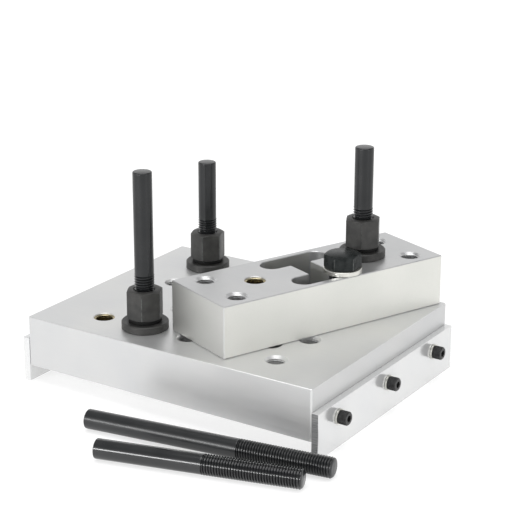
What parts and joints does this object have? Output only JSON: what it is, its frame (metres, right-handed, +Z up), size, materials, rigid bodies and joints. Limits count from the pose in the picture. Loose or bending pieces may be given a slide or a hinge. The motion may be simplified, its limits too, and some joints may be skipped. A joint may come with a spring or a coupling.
{
  "type": "ball joint press fixture",
  "caption": "Drilled aluminium plate on side rails with a slotted riser block clamped on top and threaded black pillars that support a workpiece in a press.",
  "frame": {"origin": "centre of the base plate's underside", "axes": "+Z up, X across the plate from rail to rail, +Y away from the side with the spare studs"},
  "size_m": [0.3776, 0.3966, 0.229],
  "materials": {
    "milled_aluminium": "milled, satin",
    "rail_aluminium": "bright drawn",
    "black_steel": "black oxide, satin",
    "nut_steel": "black oxide, slightly brown",
    "bolt_steel": "black oxide",
    "bright_steel": "zinc plated",
    "gold_insert": "yellow passivated thread"
  },
  "bodies": {
    "base": {"base_plate": "milled_aluminium", "cap_screw_left_1": "black_steel", "cap_screw_left_2": "black_steel", "cap_screw_left_3": "black_steel", "cap_screw_right_1": "black_steel", "cap_screw_right_2": "black_steel", "cap_screw_right_3": "black_steel", "side_rail_left": "rail_aluminium", "side_rail_right": "rail_aluminium", "spring_washer_left_1": "bright_steel", "spring_washer_left_2": "bright_steel", "spring_washer_left_3": "bright_steel", "spring_washer_right_1": "bright_steel", "spring_washer_right_2": "bright_steel", "spring_washer_right_3": "bright_steel", "thread_insert_plate": "gold_insert"},
    "clamp_washer": {"clamp_washer": "bright_steel"},
    "riser_block": {"riser_block": "milled_aluminium", "thread_insert_block": "gold_insert"},
    "clamp_bolt": {"clamp_bolt": "bolt_steel"},
    "front_stud": {"pillar_stud_front": "black_steel"},
    "front_seat": {"pillar_seat_front": "nut_steel"},
    "front_nut": {"pillar_nut_front": "nut_steel"},
    "rear_stud": {"pillar_stud_rear": "black_steel"},
    "rear_seat": {"pillar_seat_rear": "nut_steel"},
    "rear_nut": {"pillar_nut_rear": "nut_steel"},
    "block_stud": {"pillar_stud_block": "black_steel"},
    "block_seat": {"pillar_seat_block": "nut_steel"},
    "block_nut": {"pillar_nut_block": "nut_steel"},
    "spare_stud_long": {"spare_stud_long": "black_steel"},
    "spare_stud_medium": {"spare_stud_medium": "black_steel"}
  },
  "joints": [
    {"name": "block_swivel", "type": "hinge", "parent": "base", "child": "clamp_washer", "pos_m": [0.099, 0.0295, 0.10165], "axis": [0, 0, 1], "range_deg": [-90, 90]},
    {"name": "block_slide", "type": "slide", "parent": "clamp_washer", "child": "riser_block", "axis": [0.3799, 0.925, 0], "range_m": [0, 0.046]},
    {"name": "clamp_bolt_turn", "type": "hinge", "parent": "base", "child": "clamp_bolt", "pos_m": [0.099, 0.0295, 0.10165], "axis": [0, 0, 1], "range_deg": [0, 360]},
    {"name": "front_stud_height", "type": "slide", "parent": "base", "child": "front_stud", "axis": [0, 0, 1], "range_m": [-0.01, 0.02]},
    {"name": "front_nut_travel", "type": "slide", "parent": "base", "child": "front_seat", "axis": [0, 0, 1], "range_m": [0, 0.01015]},
    {"name": "front_nut_turn", "type": "hinge", "parent": "front_seat", "child": "front_nut", "pos_m": [-0.0495, -0.0885, 0.0708], "axis": [0, 0, 1], "range_deg": [0, 1440]},
    {"name": "rear_stud_height", "type": "slide", "parent": "base", "child": "rear_stud", "axis": [0, 0, 1], "range_m": [-0.01, 0.02]},
    {"name": "rear_nut_travel", "type": "slide", "parent": "base", "child": "rear_seat", "axis": [0, 0, 1], "range_m": [0, 0.01015]},
    {"name": "rear_nut_turn", "type": "hinge", "parent": "rear_seat", "child": "rear_nut", "pos_m": [-0.099, 0.0885, 0.0708], "axis": [0, 0, 1], "range_deg": [0, 1440]},
    {"name": "block_stud_height", "type": "slide", "parent": "riser_block", "child": "block_stud", "axis": [0, 0, 1], "range_m": [-0.008, 0.02]},
    {"name": "block_nut_travel", "type": "slide", "parent": "riser_block", "child": "block_seat", "axis": [0, 0, 1], "range_m": [0, 0.01015]},
    {"name": "block_nut_turn", "type": "hinge", "parent": "block_seat", "child": "block_nut", "pos_m": [0.0914, 0.08073, 0.12165], "axis": [0, 0, 1], "range_deg": [0, 1440]},
    {"name": "spare_stud_long_lift", "type": "slide", "parent": "base", "child": "spare_stud_long", "axis": [0, 0, 1], "range_m": [0, 0.1]},
    {"name": "spare_stud_medium_lift", "type": "slide", "parent": "base", "child": "spare_stud_medium", "axis": [0, 0, 1], "range_m": [0, 0.1]}
  ],
  "couplings": [
    {"joint": "front_nut_turn", "follows": "front_nut_travel", "rad_per_m": 2473.7},
    {"joint": "rear_nut_turn", "follows": "rear_nut_travel", "rad_per_m": 2473.7},
    {"joint": "block_nut_turn", "follows": "block_nut_travel", "rad_per_m": 2473.7}
  ]
}
